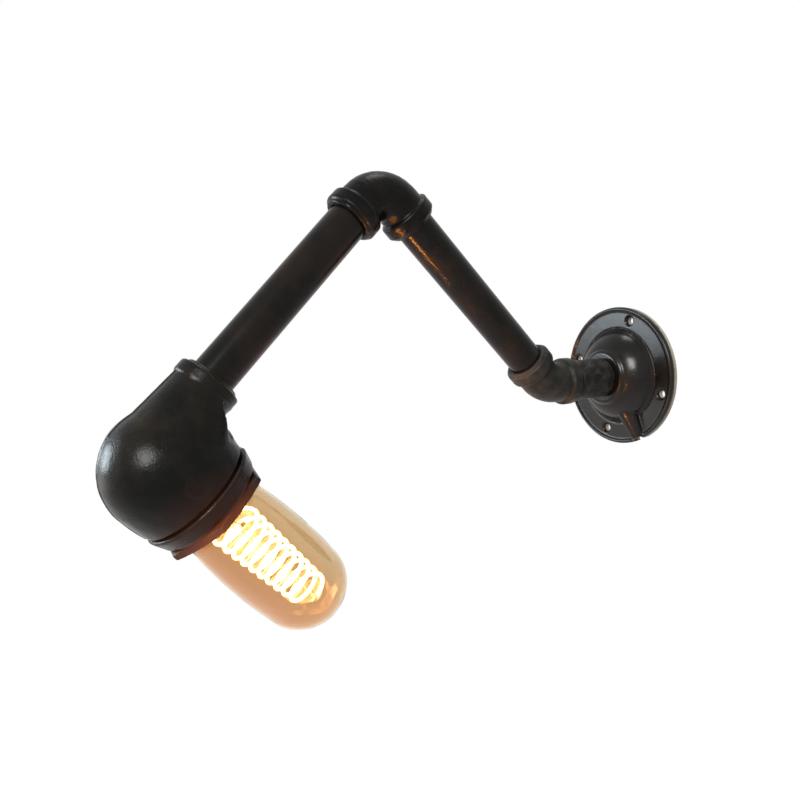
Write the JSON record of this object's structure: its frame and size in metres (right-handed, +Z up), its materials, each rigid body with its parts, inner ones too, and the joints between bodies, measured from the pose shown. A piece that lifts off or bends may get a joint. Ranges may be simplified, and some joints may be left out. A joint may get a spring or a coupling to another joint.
{
  "type": "industrial pipe wall light",
  "caption": "Swivelling wall light of threaded pipe and cast elbows, with a bare filament bulb held in a reducing elbow by a hexagonal ring.",
  "frame": {"origin": "centre of the wall plate's back, on the wall's surface", "axes": "+Y into the wall, -Y out into the room, +Z up, +X to the right when facing the wall"},
  "size_m": [0.092, 0.3313, 0.233],
  "materials": {
    "gasket": "matt khaki sheet rubber",
    "plate": "gloss black lacquer",
    "socket": "rough, lacquered black",
    "nipple": "black pipe",
    "nut": "zinc plated",
    "washer": "zinc plated",
    "block": "natural white",
    "pole_screws": "plain",
    "block_screw": "zinc plated",
    "earth_screw": "plain",
    "earth_tag": "tinned",
    "lead_a": "black sheath",
    "cores_a": "coloured insulation",
    "nipple_b": "black pipe",
    "elbow_a": "black malleable casting",
    "pipe_a": "black pipe, satin",
    "lead_b": "black sheath",
    "elbow_b": "black malleable casting",
    "pipe_b": "black pipe, satin",
    "lead_c": "black sheath",
    "head": "black malleable casting",
    "ring": "black",
    "holder": "white glazed porcelain",
    "shell": "nickel plated",
    "contact": "plain",
    "terminals": "plain",
    "lead_d": "black sheath",
    "cores_b": "coloured insulation",
    "tip": "solder",
    "cap_glass": "black vitrite",
    "cap": "plain",
    "glass": "clear amber glass",
    "stem": "clear glass",
    "lead_in": "nickel wire",
    "supports": "molybdenum wire",
    "filament": "glowing carbon filament"
  },
  "bodies": {
    "wall": {"wall_gasket": "gasket", "wall_plate": "plate", "plate_socket": "socket", "wall_nipple": "nipple", "lock_nut": "nut", "lock_washer": "washer", "terminal_block": "block", "terminal_screws": "pole_screws", "block_screw": "block_screw", "earth_screw": "earth_screw", "earth_tag": "earth_tag", "lead_at_plate": "lead_a", "plate_cores": "cores_a"},
    "lower_arm": {"close_nipple": "nipple_b", "elbow_45": "elbow_a", "lower_pipe": "pipe_a", "lead_in_lower_arm": "lead_b"},
    "upper_arm": {"elbow_90": "elbow_b", "upper_pipe": "pipe_b", "lead_in_upper_arm": "lead_c"},
    "head": {"head_elbow": "head", "retaining_ring": "ring", "lampholder_body": "holder", "holder_screw_shell": "shell", "holder_centre_contact": "contact", "holder_terminals": "terminals", "lead_in_head": "lead_d", "head_cores": "cores_b"},
    "bulb_tip": {"bulb_contact": "tip"},
    "bulb": {"cap_insulator": "cap_glass", "bulb_cap": "cap", "bulb_glass": "glass", "stem": "stem", "lead_in_wires": "lead_in", "filament_supports": "supports", "filament": "filament"}
  },
  "joints": [
    {"name": "wall_swivel", "type": "hinge", "parent": "wall", "child": "lower_arm", "pos_m": [0, -0.0708, 0], "axis": [0, -1, 0], "range_deg": [-90, 90]},
    {"name": "arm_swivel", "type": "hinge", "parent": "lower_arm", "child": "upper_arm", "pos_m": [0, -0.18344, 0.11264], "axis": [0, -0.7071, 0.7071], "range_deg": [-120, 120]},
    {"name": "head_swivel", "type": "hinge", "parent": "upper_arm", "child": "head", "pos_m": [0, -0.30881, -0.01273], "axis": [0, -0.7071, -0.7071], "range_deg": [-170, 170]},
    {"name": "bulb_travel", "type": "slide", "parent": "head", "child": "bulb_tip", "axis": [0, 0.6626, -0.749], "range_m": [0, 0.01815]},
    {"name": "bulb_turn", "type": "hinge", "parent": "bulb_tip", "child": "bulb", "pos_m": [0, -0.30881, -0.01273], "axis": [0, 0.6626, -0.749], "range_deg": [0, 1800]}
  ],
  "couplings": [
    {"joint": "bulb_turn", "follows": "bulb_travel", "rad_per_m": 1731.4}
  ]
}
